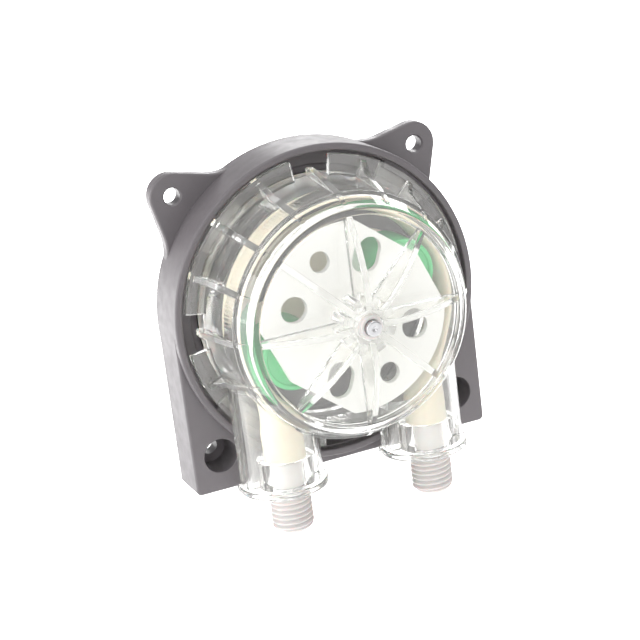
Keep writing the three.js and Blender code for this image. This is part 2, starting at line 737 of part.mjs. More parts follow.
/** A cap screw through the bracket's floor, with a hexagon socket. */
function gearboxScrew(angle) {
  const at = { ...orbit(SCREW_ORBIT, angle), sides: 18 };
  const head = cut(
    disc(SCREW_HEAD_R, FLOOR_FRONT + GAP, SCREW_HEAD_FRONT, at),
    disc(SCREW_SOCKET_R, SCREW_SOCKET_FLOOR, SCREW_HEAD_FRONT + CUT, { ...at, sides: 6 }),
  );
  return join(head, disc(SCREW_R, SCREW_TIP, SCREW_SOCKET_FLOOR, at));
}

function gearboxScrewHoles(from, to) {
  return SCREW_ANGLES.map((angle) => disc(SCREW_HOLE_R, from, to, {
    ...orbit(SCREW_ORBIT, angle), sides: 16,
  }));
}

function gearboxCover() {
  const body = join(
    disc(GEARBOX_R, COVER_BACK, -GAP),
    disc(SPIGOT_R, -CUT, SPIGOT_FRONT, { sides: 32 }),
  );
  return cut(
    body,
    disc(SHAFT_R + GAP, COVER_BACK - CUT, SPIGOT_FRONT + CUT, { sides: 20 }),
    ...gearboxScrewHoles(SCREW_TIP - 0.5, CUT),
  );
}

function gearboxCase() {
  return cut(
    disc(GEARBOX_R, -GEARBOX_LENGTH, COVER_BACK - GAP),
    disc(SHAFT_R + GAP, SHAFT_POCKET_BACK, COVER_BACK, { sides: 20 }),
  );
}

function motorCan() {
  const front = -GEARBOX_LENGTH - GAP;
  return turned([
    [0, front], [MOTOR_R - MOTOR_EDGE, front], [MOTOR_R, front - MOTOR_EDGE],
    [MOTOR_R, -MOTOR_END + MOTOR_EDGE], [MOTOR_R - MOTOR_EDGE, -MOTOR_END], [0, -MOTOR_END],
  ], 32);
}

function motorCap() {
  return turned([
    [0, -MOTOR_END - GAP], [CAP_R, -MOTOR_END - GAP], [CAP_R, -CAP_END + CAP_EDGE],
    [CAP_R - CAP_EDGE, -CAP_END], [CAP_BOSS_R, -CAP_END], [CAP_BOSS_R, -CAP_BOSS_END],
    [0, -CAP_BOSS_END],
  ], 32);
}

function motorTerminal(x) {
  const half = { x: TERMINAL_THICK / 2, z: TERMINAL_WIDTH / 2 };
  return block(x - half.x, x + half.x, -TERMINAL_END, -CAP_END - GAP, -half.z, half.z);
}

function bearingRing(outer, inner, inset = 0) {
  return ring(outer, inner, BEARING_BACK + inset, BEARING_FRONT - inset, { sides: 24 });
}

// ---------------------------------------------------------------- assembly

const shield = bearingRing(BEARING_SHIELD_R, BEARING_SHIELD_BORE_R, BEARING_SHIELD_INSET);
const gasket = ring(GASKET_R, GASKET_BORE_R, GASKET_BACK, SKIRT_BACK - GAP, { sides: 40 });

place('base_bracket', bracket(), GREY);
place('rear_bearing_outer', bearingRing(BEARING_R, BEARING_OUTER_BORE_R), STEEL);
place('rear_bearing_shield', shield, RUBBER);
place('rear_bearing_inner', bearingRing(BEARING_INNER_R, SHAFT_R + GAP), STEEL);
place('head_gasket', gasket, RUBBER);

place('head_housing', head(), CLEAR);
place('front_bush', bush(), NATURAL);
place('pump_tube', tube(), CREAM);
place('inlet_fitting', fitting(-PORT_X), NATURAL);
place('outlet_fitting', fitting(PORT_X), NATURAL);
place('inlet_neck_ring', neckRing(-PORT_X), STEEL);
place('outlet_neck_ring', neckRing(PORT_X), STEEL);

place('drive_shaft', driveShaft(), STEEL);
place('drive_pin', crossPin(), STEEL);
place('rotor_yoke', yoke(), IVORY);
place('rotor_front_plate', frontPlate(), WHITE);
ROLLER_ANGLES.forEach((angle, index) => {
  place(`roller_${index + 1}`, roller(angle), GREEN);
  place(`roller_pin_${index + 1}`, rollerPin(angle), STEEL);
});

place('gearbox_cover', gearboxCover(), ZINC);
place('gearbox_case', gearboxCase(), ZINC);
SCREW_ANGLES.forEach((angle, index) => {
  place(`gearbox_screw_${index + 1}`, gearboxScrew(angle), STEEL);
});
place('motor_can', motorCan(), STEEL);
place('motor_end_cap', motorCap(), BLACK);
place('motor_terminal_1', motorTerminal(-TERMINAL_X), BRASS);
place('motor_terminal_2', motorTerminal(TERMINAL_X), BRASS);

export default pump;
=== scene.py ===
"""A peristaltic pump: a grey panel bracket, a clear twist-off head with its tube and two threaded
ports, the two-roller rotor that shows through it, and a gearmotor behind the bracket.

Shapes are worked out in millimetres as (x, depth, z). Depth is the distance in front of the
bracket's flat back face, so it runs along -Y. mesh_object() turns them into metres.
"""

import json
import math
from types import SimpleNamespace

import bmesh
import bpy
from mathutils import Matrix, Vector

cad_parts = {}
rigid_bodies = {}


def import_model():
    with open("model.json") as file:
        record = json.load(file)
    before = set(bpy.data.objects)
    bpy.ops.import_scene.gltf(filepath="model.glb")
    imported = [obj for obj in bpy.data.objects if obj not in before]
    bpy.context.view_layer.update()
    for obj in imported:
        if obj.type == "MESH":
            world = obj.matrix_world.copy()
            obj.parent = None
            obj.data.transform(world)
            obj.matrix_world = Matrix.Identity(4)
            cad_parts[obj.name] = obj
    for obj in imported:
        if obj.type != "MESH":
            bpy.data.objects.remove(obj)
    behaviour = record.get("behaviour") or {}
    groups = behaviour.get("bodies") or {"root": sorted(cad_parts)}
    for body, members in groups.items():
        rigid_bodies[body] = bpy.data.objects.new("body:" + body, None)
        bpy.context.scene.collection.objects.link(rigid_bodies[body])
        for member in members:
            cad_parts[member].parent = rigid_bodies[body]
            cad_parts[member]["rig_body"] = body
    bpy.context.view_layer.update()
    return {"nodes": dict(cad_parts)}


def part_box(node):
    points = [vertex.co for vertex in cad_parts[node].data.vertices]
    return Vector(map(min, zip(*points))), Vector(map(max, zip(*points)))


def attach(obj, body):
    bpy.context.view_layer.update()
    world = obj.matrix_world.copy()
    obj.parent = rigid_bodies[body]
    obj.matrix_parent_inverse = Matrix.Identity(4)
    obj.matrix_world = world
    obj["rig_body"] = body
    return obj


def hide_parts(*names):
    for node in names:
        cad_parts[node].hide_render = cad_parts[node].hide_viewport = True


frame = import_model()

MM = 0.001
EPS = 1e-6


def extent(node):
    """A CAD node's box in millimetres."""
    low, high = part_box(node)
    return SimpleNamespace(
        left=low.x / MM,
        right=high.x / MM,
        back=-high.y / MM,
        front=-low.y / MM,
        bottom=low.z / MM,
        top=high.z / MM,
    )


# ---------------------------------------------------------------- sizes, in millimetres

GAP = 0.3  # clearance between neighbouring pieces

# bracket
BRACKET = extent("base_bracket")
PLATE_FRONT = BRACKET.front - 2.2
RIM_INNER_R = 43.9
DISH_STEPS = ((43.4, 8.8), (39.0, 7.0), (34.0, 5.0))
BLOCK_CORNER_R = 1.5
SHELL = 2.5
POCKET_TOP = -20
POCKET_INNER_X = 8
HOLE_X = 37.5
HOLE_R = 2.4
EAR_Z = 37.0
EAR_R = 6.6
EAR_THICK = 4.2
EAR_SPREAD = 58
EAR_FOOT = 16.5
EAR_SWEEP = 22
EAR_BLEND = 0.35  # share of a flank that is sweep
CORNER_Z = -37.5
COUNTERBORE_R = 4.85
COUNTERBORE_FLOOR = 4.2
TAB_INNER_R = 41.3
TAB_BACK = 11.5
TAB_FRONT = 13.6
TAB_SPAN = 24
QUARTERS = (45, 135, 225, 315)
BEARING = extent("rear_bearing_outer")
BEARING_BOSS_R = 12.5
BEARING_OUTER_BORE_R = 7.6
BEARING_SHIELD_R = 7.3
BEARING_SHIELD_BORE_R = 5.6
BEARING_INNER_R = 5.3
SHAFT_HOLE_R = 7.0

# clear head
HEAD = extent("head_housing")
LUG_R = HEAD.right
LUG_BACK = 13.9
LUG_FRONT = 16.0
LUG_SPAN = 74
SKIRT_BACK = HEAD.back
WALL_R = 37.0
RACE_R = 33.5
STEP_R = 35.4
STEP_DEPTH = 33.0
FRONT_R = 31.9
FRONT_DEPTH = 39.6
FACE_R = 29.9
FACE_DEPTH = 37.2
INNER_DEPTH = 35.2
FIN_THICK = 1.9
WEB_THICK = 1.3
GASKET_R = 36.8
GASKET_BORE_R = 34.3
BOSS_R = 5.0
BOSS_FRONT = 45.2
GUSSET_TOP = ((29.9, 39.4), (24.0, 42.6, 3), (18.0, 45.0, 3), (12.0, 46.2, 2), (8.4, HEAD.front, 0.6))
STUB_REACH = 8.2
STUB_WIDTH = 2.6
STUB_FRONT = 44.6

# ports, tube and fittings
PORT_X = 22.25
PORT_DEPTH = 24.8
PORT_BACK = 16.9
PORT_HALF = 11.6
PORT_LIP = 1.1
PORT_ARC_DEPTH = 21.5
PORT_TOP = -12.0
PORT_BOTTOM = HEAD.bottom
PORT_SKIN = 1.8
PORT_LIP_HEIGHT = 2
PORT_ROOF = 5
SLEEVE_TOP = -38.0
SLEEVE_R = 8.2
SLEEVE_BOTTOM = -46.0
FITTING = extent("inlet_fitting")
SHANK_R = 4.9
SHANK_BOTTOM = -46.1
NECK_R = 3.9
NECK_RING_BORE_R = 4.25
THREAD_R = 6.0
THREAD_PITCH = 1.5
THREAD_DEPTH = 0.85
THREAD_TOP = -49.2
BORE_R = 3.0
TUBE_R = 5.85
TUBE_BORE_R = 4.1
TUBE_END = -38.2
BAND_R = 31.2
BAND_DEPTH = 23.6
BAND_THICK = 2.0
BAND_HALF_WIDTH = 6.9
BAND_END_ANGLE = 205
FLAT_FROM = -31  # height where the tube starts to be pressed flat
FLAT_OVER = 14  # and the height it takes

# rotor
ROLLER_ANGLES = (25, 205)
ROLLER_ORBIT = 19.3
ROLLER_R = 9.6
ROLLER = extent("roller_1")
PIN = extent("roller_pin_1")
PIN_R = 2.0
YOKE = extent("rotor_yoke")
YOKE_BACK = 13.5
YOKE_FLANGE_FRONT = 16.1
YOKE_FLANGE_R = 17.5
LOBE_R = 12.7
LOBE_ORBIT = 14.4
HUB_R = 6.5
YOKE_WEB_REACH = 11
YOKE_WEB_HALF = 1.5
CROSS_PIN_DEPTH = 22.0
CROSS_PIN_R = 1.0
CROSS_PIN_LENGTH = 2 * HUB_R - 1.6
CROSS_HOLE_R = 1.3
CROSS_HOLE_LENGTH = CROSS_PIN_LENGTH + 1.2
PLATE = extent("rotor_front_plate")
PLATE_R = 27.5
PLATE_DISC_BACK = 32.3
PLATE_TRIMS = ((-2, 24.6), (27, 23.7))  # degrees past a roller, distance from the axis
PLATE_BOSS_R = 4.2
# degrees past a roller, distances of a window's two ends' centres from the axis, half width
WINDOWS = ((45, 16.6, 19.7, 3.4), (90, 19.7, 20.1, 2.9), (135, 18.5, 18.9, 3.7))
SHAFT = extent("drive_shaft")
SHAFT_R = 3.0
JOURNAL_R = 2.25
BUSH_R = 3.6
BUSH_COLLAR_R = 3.3

# gearmotor, at negative depths
CASE = extent("gearbox_case")
COVER = extent("gearbox_cover")
CAN = extent("motor_can")
CAP = extent("motor_end_cap")
GEARBOX_SCREW_ORBIT = 15.5
GEARBOX_SCREW_ANGLES = (90, 210, 330)
SCREW_R = 1.4
SCREW_HOLE_R = 1.75
SCREW_HEAD_R = 2.7
SCREW_HEAD_HEIGHT = 2.0
SCREW_SOCKET = 1.3  # its radius and its depth


# ---------------------------------------------------------------- mesh tools


def mesh_object(name, vertices, faces):
    """An object from (x, depth, z) points in millimetres, with its faces pointing out."""
    mesh = bpy.data.meshes.new(name)
    mesh.from_pydata([(x * MM, -depth * MM, z * MM) for x, depth, z in vertices], [], faces)
    work = bmesh.new()
    work.from_mesh(mesh)
    bmesh.ops.remove_doubles(work, verts=work.verts, dist=EPS * MM)
    bmesh.ops.recalc_face_normals(work, faces=work.faces)
    work.to_mesh(mesh)
    work.free()
    obj = bpy.data.objects.new(name, mesh)
    bpy.context.scene.collection.objects.link(obj)
    return obj


def polar(radius, degrees):
    angle = math.radians(degrees)
    return radius * math.cos(angle), radius * math.sin(angle)


def arc(cx, cz, radius, start, end, steps):
    """Points along an arc, both ends included, in degrees."""
    points = []
    for k in range(steps + 1):
        x, z = polar(radius, start + (end - start) * k / steps)
        points.append((cx + x, cz + z))
    return points


def rounded(points, radius=0.3, steps=4):
    """A closed outline with its corners rounded. A point may name its own radius as a third number."""
    result = []
    for i, point in enumerate(points):
        here = Vector(point[:2])
        before = Vector(points[i - 1][:2]) - here
        after = Vector(points[(i + 1) % len(points)][:2]) - here
        reach = point[2] if len(point) > 2 else radius
        reach = min(reach, 0.45 * before.length, 0.45 * after.length)
        if reach < EPS or abs(here.x) < EPS:
            result.append(tuple(here))
            continue
        start = here + before.normalized() * reach
        end = here + after.normalized() * reach
        for k in range(steps + 1):
            t = k / steps
            result.append(tuple(start * (1 - t) ** 2 + here * (2 * t * (1 - t)) + end * t**2))
    return result


def bar(radius, low, high, edge):
    """The profile of a plain round bar with rounded ends."""
    return rounded([(0, low), (radius, low), (radius, high), (0, high)], edge)


def lathe(name, profile, sides=144, centre=(0, 0), upright=False, shape=None):
    """A closed (radius, height) profile turned round an axis: the pump's, or an upright one.
    centre is that axis's (x, z), or (x, depth). shape(radius, height, angle) may vary the radius."""
    vertices, rings = [], []
    for radius, height in profile:
        count = 1 if radius < EPS else sides
        ring = []
        for k in range(count):
            angle = 2 * math.pi * k / sides
            r = shape(radius, height, angle) if shape else radius
            a = centre[0] + r * math.cos(angle)
            b = centre[1] + r * math.sin(angle)
            ring.append(len(vertices))
            vertices.append((a, b, height) if upright else (a, height, b))
        rings.append(ring)
    faces = []
    for ring, following in zip(rings, rings[1:] + rings[:1]):
        for k in range(sides):
            corners = [ring[k % len(ring)], ring[(k + 1) % len(ring)]]
            corners += [following[(k + 1) % len(following)], following[k % len(following)]]
            corners = list(dict.fromkeys(corners))
            if len(corners) > 2:
                faces.append(corners)
    return mesh_object(name, vertices, faces)


def prism(name, outline, low, high, place=lambda a, b, h: (a, h, b)):
    """An outline thickened from low to high. place says where (a, b, height) lies."""
    n = len(outline)
    vertices = [place(a, b, h) for h in (low, high) for a, b in outline]
    faces = [tuple(range(n)), tuple(range(n, 2 * n))]
    faces += [(k, (k + 1) % n, (k + 1) % n + n, k + n) for k in range(n)]
    return mesh_object(name, vertices, faces)


def block(x0, x1, depth0, depth1, z0, z1):
    return prism("block", [(x0, z0), (x1, z0), (x1, z1), (x0, z1)], depth0, depth1)


def disc(radius, low, high, centre=(0, 0), sides=96):
    return lathe("disc", [(0, low), (radius, low), (radius, high), (0, high)], sides, centre)


def post(radius, bottom, top, x, sides=96):
    profile = [(0, bottom), (radius, bottom), (radius, top), (0, top)]
    return lathe("post", profile, sides, (x, PORT_DEPTH), upright=True)


def ring_sector(inner, outer, centre, span, low, high):
    steps = max(8, int(span))
    start, end = centre - span / 2, centre + span / 2
    outline = arc(0, 0, outer, start, end, steps) + arc(0, 0, inner, end, start, steps)
    return prism("sector", outline, low, high)


def bevelled(obj, width, angle=35, segments=3):
    """Rounds every edge sharper than the angle."""
    work = bmesh.new()
    work.from_mesh(obj.data)
    limit = math.radians(angle)
    sharp = [e for e in work.edges if len(e.link_faces) == 2 and e.calc_face_angle() > limit]
    bmesh.ops.bevel(
        work,
        geom=sharp,
        offset=width * MM,
        segments=segments,
        profile=0.5,
        affect="EDGES",
        clamp_overlap=True,
    )
    work.to_mesh(obj.data)
    work.free()
    return obj


def turned(obj, degrees):
    """Turns a piece about the pump's axis, from +X towards +Z."""
    obj.data.transform(Matrix.Rotation(-math.radians(degrees), 4, "Y"))
    return obj


def laid_across(obj, depth):
    """Turns a piece from the pump's axis to lie along X at a depth."""
    obj.data.transform(Matrix.Rotation(math.pi / 2, 4, "Z"))
    obj.data.transform(Matrix.Translation((0, -depth * MM, 0)))
    return obj


def mirrored(obj):
    obj.data.transform(Matrix.Scale(-1, 4, (1, 0, 0)))
    obj.data.flip_normals()
    return obj


def applied(obj):
    """The object with its modifiers made part of its mesh."""
    seen = bpy.context.evaluated_depsgraph_get()
    mesh = bpy.data.meshes.new_from_object(obj.evaluated_get(seen))
    obj.modifiers.clear()
    obj.data = mesh
    return obj


def combine(operation, base, *others):
    for other in others:
        modifier = base.modifiers.new("combine", "BOOLEAN")
        modifier.operation = operation
        modifier.solver = "MANIFOLD"
        modifier.object = other
    applied(base)
    for other in others:
        bpy.data.objects.remove(other)
    return base


def join(base, *others):
    return combine("UNION", base, *others)


def cut(base, *tools):
    return combine("DIFFERENCE", base, *tools)


def smooth(obj, angle=32):
    mesh = obj.data
    mesh.polygons.foreach_set("use_smooth", [True] * len(mesh.polygons))
    mesh.set_sharp_from_angle(angle=math.radians(angle))
    modifier = obj.modifiers.new("normals", "WEIGHTED_NORMAL")
    modifier.keep_sharp = True
    return applied(obj)


def finished(obj, name, node, material, angle=32):
    """Names a piece, smooths it, and lets it stand for a CAD node on that node's body."""
    smooth(obj, angle)
    obj.name = name
    obj.data.name = name
    obj.data.materials.clear()
    obj.data.materials.append(material)
    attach(obj, frame["nodes"][node]["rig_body"])
    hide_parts(node)
    return obj


# ---------------------------------------------------------------- materials


class Surface:
    """A Principled material whose bump, gloss and colour vary with noise in the object's space."""

    def __init__(self, name, colour, roughness, metallic=0.0, **sockets):
        self.material = bpy.data.materials.new(name)
        self.material.use_nodes = True
        self.nodes = self.material.node_tree.nodes
        self.links = self.material.node_tree.links
        self.shader = self.nodes["Principled BSDF"]
        self.colour = (*colour, 1.0)
        self.roughness = roughness
        self.shader.inputs["Base Color"].default_value = self.colour
        self.shader.inputs["Roughness"].default_value = roughness
        self.shader.inputs["Metallic"].default_value = metallic
        for socket, value in sockets.items():
            self.shader.inputs[socket.replace("_", " ")].default_value = value
        self.space = self.nodes.new("ShaderNodeTexCoord").outputs["Object"]

    def noise(self, size, detail=3.0, stretch=(1, 1, 1)):
        """Noise whose features are about size millimetres across."""
        mapping = self.nodes.new("ShaderNodeMapping")
        mapping.inputs["Scale"].default_value = stretch
        texture = self.nodes.new("ShaderNodeTexNoise")
        texture.inputs["Scale"].default_value = 1 / (size * MM)
        texture.inputs["Detail"].default_value = detail
        self.links.new(self.space, mapping.inputs["Vector"])
        self.links.new(mapping.outputs["Vector"], texture.inputs["Vector"])
        return texture.outputs["Fac"]

    def span(self, source, low, high):
        """The source, from about 0.3 to 0.7, spread from low to high."""
        node = self.nodes.new("ShaderNodeMapRange")
        node.inputs["From Min"].default_value = 0.3
        node.inputs["From Max"].default_value = 0.7
        node.inputs["To Min"].default_value = low
        node.inputs["To Max"].default_value = high
        self.links.new(source, node.inputs["Value"])
        return node.outputs["Result"]

    def uneven_gloss(self, size, spread, **noise):
        gloss = self.span(self.noise(size, **noise), self.roughness - spread, self.roughness + spread)
        self.links.new(gloss, self.shader.inputs["Roughness"])
        return self

    def mottled(self, size, darker, **noise):
        """Varies the colour down to a darker share of itself."""
        mix = self.nodes.new("ShaderNodeMix")
        mix.data_type = "RGBA"
        mix.inputs[6].default_value = [c * darker for c in self.colour[:3]] + [1.0]
        mix.inputs[7].default_value = self.colour
        self.links.new(self.span(self.noise(size, **noise), 0, 1), mix.inputs[0])
        self.links.new(mix.outputs[2], self.shader.inputs["Base Color"])
        return self

    def bumpy(self, size, height, **noise):
        """Bump of about height millimetres, on top of any bump there is."""
        bump = self.nodes.new("ShaderNodeBump")
        bump.inputs["Strength"].default_value = 1.0
        bump.inputs["Distance"].default_value = height * MM
        self.links.new(self.noise(size, **noise), bump.inputs["Height"])
        normal = self.shader.inputs["Normal"]
        if normal.is_linked:
            self.links.new(normal.links[0].from_socket, bump.inputs["Normal"])
        self.links.new(bump.outputs["Normal"], normal)
        return self


def grey_plastic():
    surface = Surface("grey_plastic", (0.125, 0.114, 0.121), 0.42)
    surface.uneven_gloss(3.0, 0.06).mottled(9.0, 0.93)
    return surface.bumpy(0.35, 0.012, detail=4.0).bumpy(14.0, 0.03).material


def clear_plastic():
    """Clear moulding with a faint yellow-green cast. Lamps shine through it unbent."""
    surface = Surface("clear_plastic", (0.985, 0.985, 0.97), 0.035, Transmission_Weight=0.955, IOR=1.5)
    surface.uneven_gloss(5.0, 0.02).bumpy(7.0, 0.02, detail=1.0)
    nodes, links = surface.nodes, surface.links
    lamp = nodes.new("ShaderNodeLightPath")
    through = nodes.new("ShaderNodeBsdfTransparent")
    through.inputs["Color"].default_value = (0.97, 0.97, 0.955, 1.0)
    mix = nodes.new("ShaderNodeMixShader")
    links.new(lamp.outputs["Is Shadow Ray"], mix.inputs["Fac"])
    links.new(surface.shader.outputs["BSDF"], mix.inputs[1])
    links.new(through.outputs["BSDF"], mix.inputs[2])
    links.new(mix.outputs["Shader"], nodes["Material Output"].inputs["Surface"])
    return surface.material


def white_plastic():
    surface = Surface("white_plastic", (0.76, 0.76, 0.75), 0.34)
    return surface.uneven_gloss(4.0, 0.05).mottled(12.0, 0.97).bumpy(0.8, 0.004).material


def ivory_plastic():
    surface = Surface("ivory_plastic", (0.84, 0.76, 0.62), 0.4)
    return surface.uneven_gloss(3.0, 0.06).mottled(8.0, 0.94).bumpy(0.6, 0.008).material


def green_plastic():
    surface = Surface("green_plastic", (0.06, 0.5, 0.17), 0.4)
    return surface.uneven_gloss(3.0, 0.06).mottled(7.0, 0.9).bumpy(0.5, 0.006).material


def tube_rubber():
    surface = Surface("tube_rubber", (0.67, 0.62, 0.505), 0.55)
    surface.shader.inputs["Subsurface Weight"].default_value = 0.25
    surface.shader.inputs["Subsurface Scale"].default_value = 0.002
    return surface.uneven_gloss(4.0, 0.08).mottled(11.0, 0.93).bumpy(0.6, 0.01).material


def natural_plastic():
    surface = Surface("natural_plastic", (0.56, 0.545, 0.535), 0.32)
    surface.shader.inputs["Subsurface Weight"].default_value = 0.2
    surface.shader.inputs["Subsurface Scale"].default_value = 0.003
    return surface.uneven_gloss(2.0, 0.05).mottled(6.0, 0.96).bumpy(0.7, 0.006).material


def black_rubber():
    surface = Surface("black_rubber", (0.02, 0.02, 0.022), 0.7)
    return surface.uneven_gloss(1.5, 0.08).mottled(4.0, 0.8).bumpy(0.3, 0.01).material


def black_plastic():
    surface = Surface("black_plastic", (0.022, 0.022, 0.025), 0.45)
    return surface.uneven_gloss(2.5, 0.08).mottled(6.0, 0.85).bumpy(0.3, 0.01).material


def turned_steel():
    """Steel with a fine, slightly uneven ground finish."""
    surface = Surface("turned_steel", (0.56, 0.56, 0.57), 0.26, metallic=1.0)
    return surface.uneven_gloss(1.2, 0.07).mottled(3.0, 0.9).bumpy(0.25, 0.002).material


def zinc_casting():
    surface = Surface("zinc_casting", (0.36, 0.37, 0.385), 0.46, metallic=1.0)
    return surface.uneven_gloss(2.0, 0.1).mottled(5.0, 0.86).bumpy(0.5, 0.02).bumpy(6.0, 0.04).material


def motor_steel():
    """Deep-drawn, plated steel with faint marks drawn along the can."""
    surface = Surface("motor_steel", (0.52, 0.52, 0.525), 0.3, metallic=1.0)
    drawn = {"stretch": (1, 0.06, 1)}
    surface.uneven_gloss(0.8, 0.08, **drawn).mottled(4.0, 0.9)
    return surface.bumpy(0.5, 0.003, **drawn).material


def brass():
    surface = Surface("brass", (0.66, 0.47, 0.2), 0.3, metallic=1.0)
    return surface.uneven_gloss(1.5, 0.08).mottled(2.5, 0.85).bumpy(0.4, 0.003).material


# ---------------------------------------------------------------- bracket


def bracket_ring():
    """The round body with its front rim and stepped dish, and the bearing's boss in the middle."""
    (dish_r, dish_depth), (step_r, step_depth), (floor_r, floor_depth) = DISH_STEPS
    pocket_r, pocket_depth = BEARING.right + GAP, BEARING.back - GAP
    boss_front = BEARING.front + 0.2
    profile = [
        (SHAFT_HOLE_R, 0), (BRACKET.right, 0), (BRACKET.right, BRACKET.front, 0.8),
        (RIM_INNER_R, BRACKET.front, 0.5), (RIM_INNER_R, TAB_FRONT), (dish_r, TAB_FRONT),
        (dish_r, dish_depth, 0.8), (step_r, dish_depth), (step_r, step_depth, 0.8),
        (floor_r, step_depth), (floor_r, floor_depth, 0.8), (BEARING_BOSS_R, floor_depth, 0.8),
        (BEARING_BOSS_R, boss_front), (pocket_r, boss_front), (pocket_r, pocket_depth),
        (SHAFT_HOLE_R, pocket_depth),
    ]
    return lathe("bracket", rounded(profile), 192)


def lower_block():
    """The square lower half, outside the round body."""
    side, bottom, corner = BRACKET.right, BRACKET.bottom, BLOCK_CORNER_R
    outline = [(side, 0), (-side, 0)]
    outline += arc(-side + corner, bottom + corner, corner, 180, 270, 8)
    outline += arc(side - corner, bottom + corner, corner, 270, 360, 8)
    body = bevelled(prism("lower_block", outline, 0, PLATE_FRONT), 0.7)
    return cut(body, disc(BRACKET.right - 1, -1, BRACKET.front, sides=192))


def ear(side):
    """A mounting ear: a round tip with straight flanks that sweep into the round wall."""
    tip = Vector((HOLE_X, EAR_Z))
    middle = math.degrees(math.atan2(EAR_Z, HOLE_X))

    def flank(turn):
        inside = Vector(polar(BRACKET.right - 6, middle + turn * EAR_SWEEP))
        wall = Vector(polar(BRACKET.right - 0.1, middle + turn * EAR_SWEEP))
        foot = Vector(polar(BRACKET.right, middle + turn * EAR_FOOT))
        tangent = tip + Vector(polar(EAR_R, middle + turn * EAR_SPREAD))
        blend = foot.lerp(tangent, EAR_BLEND)
        sweep = []
        for k in range(13):
            t = k / 12
            sweep.append(wall * (1 - t) ** 2 + foot * (2 * t * (1 - t)) + blend * t**2)
        return [tuple(inside)] + [tuple(p) for p in sweep]

    outline = flank(-1)
    outline += arc(*tip, EAR_R, middle - EAR_SPREAD, middle + EAR_SPREAD, 24)
    outline += flank(1)[::-1]
    plate = bevelled(prism("ear", outline, 0, EAR_THICK), 0.8)
    profile = [(0, -1), (HOLE_R, -1), (HOLE_R, EAR_THICK - 0.4), (HOLE_R + 1.6, EAR_THICK + 1.2)]
    profile += [(0, EAR_THICK + 1.2)]
    drilled = cut(plate, lathe("hole", rounded(profile, 0), 48, tip))
    return drilled if side > 0 else mirrored(drilled)


def screw_hole(x):
    """A counterbored hole with a softly rounded mouth."""
    profile = [
        (0, -1), (HOLE_R, -1), (HOLE_R, COUNTERBORE_FLOOR), (COUNTERBORE_R, COUNTERBORE_FLOOR),
        (COUNTERBORE_R, PLATE_FRONT - 0.4), (COUNTERBORE_R + 0.15, PLATE_FRONT - 0.1),
        (COUNTERBORE_R + 0.5, PLATE_FRONT + 0.1), (COUNTERBORE_R + 0.5, BRACKET.front),
        (0, BRACKET.front),
    ]
    return lathe("screw_hole", profile, 72, (x, CORNER_Z))


def corner_pocket(side):
    """The hollow behind a lower corner, round the screw's pillar."""
    bottom = BRACKET.bottom + SHELL
    outer = BRACKET.right - SHELL
    inner = POCKET_INNER_X
    outline = [(side * inner, bottom), (side * outer, bottom)]
    outline += [(side * outer, POCKET_TOP), (side * inner, POCKET_TOP)]
    pocket = bevelled(prism("pocket", outline, -1, PLATE_FRONT - SHELL), 0.5)
    pillar = disc(COUNTERBORE_R + SHELL, -2, PLATE_FRONT, (side * HOLE_X, CORNER_Z))
    return cut(pocket, disc(BRACKET.right, -2, PLATE_FRONT, sides=192), pillar)


def gearbox_screw_holes(low, high):
    return [
        disc(SCREW_HOLE_R, low, high, polar(GEARBOX_SCREW_ORBIT, angle), 32)
        for angle in GEARBOX_SCREW_ANGLES
    ]


def bracket(material):
    tabs = [
        bevelled(ring_sector(TAB_INNER_R, RIM_INNER_R + 0.5, angle, TAB_SPAN, TAB_BACK, TAB_FRONT), 0.3)
        for angle in QUARTERS
    ]
    body = join(bracket_ring(), lower_block(), ear(1), ear(-1), *tabs)
    holes = gearbox_screw_holes(-1, BRACKET.front)
    pockets = [corner_pocket(side) for side in (-1, 1)]
    cut(body, *pockets, screw_hole(HOLE_X), screw_hole(-HOLE_X), *holes)
    return finished(body, "bracket_moulding", "base_bracket", material)


# ---------------------------------------------------------------- clear head


def head_blank():
    """The head's outside, solid right through."""
    profile = [
        (0, SKIRT_BACK), (WALL_R, SKIRT_BACK), (WALL_R, LUG_BACK), (STEP_R, STEP_DEPTH, 0.5),
        (STEP_R - 0.9, STEP_DEPTH + 0.4), (FRONT_R + 0.6, FRONT_DEPTH - 0.8),
        (FRONT_R, FRONT_DEPTH, 0.4), (FACE_R, FRONT_DEPTH, 0.4), (FACE_R, FACE_DEPTH, 0.5),
        (0, FACE_DEPTH),
    ]
    return lathe("head", rounded(profile), 192)


def head_cavity():
    profile = [
        (0, SKIRT_BACK - 1), (RACE_R, SKIRT_BACK - 1), (RACE_R, INNER_DEPTH - 2, 1),
        (RACE_R - 2, INNER_DEPTH, 1), (0, INNER_DEPTH),
    ]
    return lathe("cavity", rounded(profile), 192)


def radial_plate(outline, thick, angle, edge=0.22):
    """A plate that stands along a radius: its outline is in (radius, depth)."""
    plate = prism("fin", outline, -thick / 2, thick / 2, lambda r, depth, h: (r, depth, h))
    return turned(bevelled(plate, edge), angle)


def fin(angle):
    """A fin from the flange up to the shoulder."""
    over_gap = angle % 90 == 0
    outer = WALL_R + 2.4 if over_gap else LUG_R - 1
    low = LUG_BACK if over_gap else LUG_FRONT - 1
    outline = [
        (WALL_R - 1.5, low), (outer, low), (outer, LUG_FRONT + 0.4), (WALL_R + 1.6, 20.8),
        (STEP_R + 0.1, STEP_DEPTH), (STEP_R - 1, STEP_DEPTH),
    ]
    return radial_plate(outline, FIN_THICK, angle)


def shoulder_web(angle):
    """A small web that carries a fin on between the shoulder and the front rim."""
    outline = [
        (STEP_R - 2.5, STEP_DEPTH - 0.5), (STEP_R - 0.3, STEP_DEPTH - 0.5),
        (STEP_R - 0.5, STEP_DEPTH + 1.6), (FRONT_R + 0.3, FRONT_DEPTH - 0.9),
        (FRONT_R - 1, FRONT_DEPTH - 1),
    ]
    return radial_plate(outline, WEB_THICK, angle, 0.15)


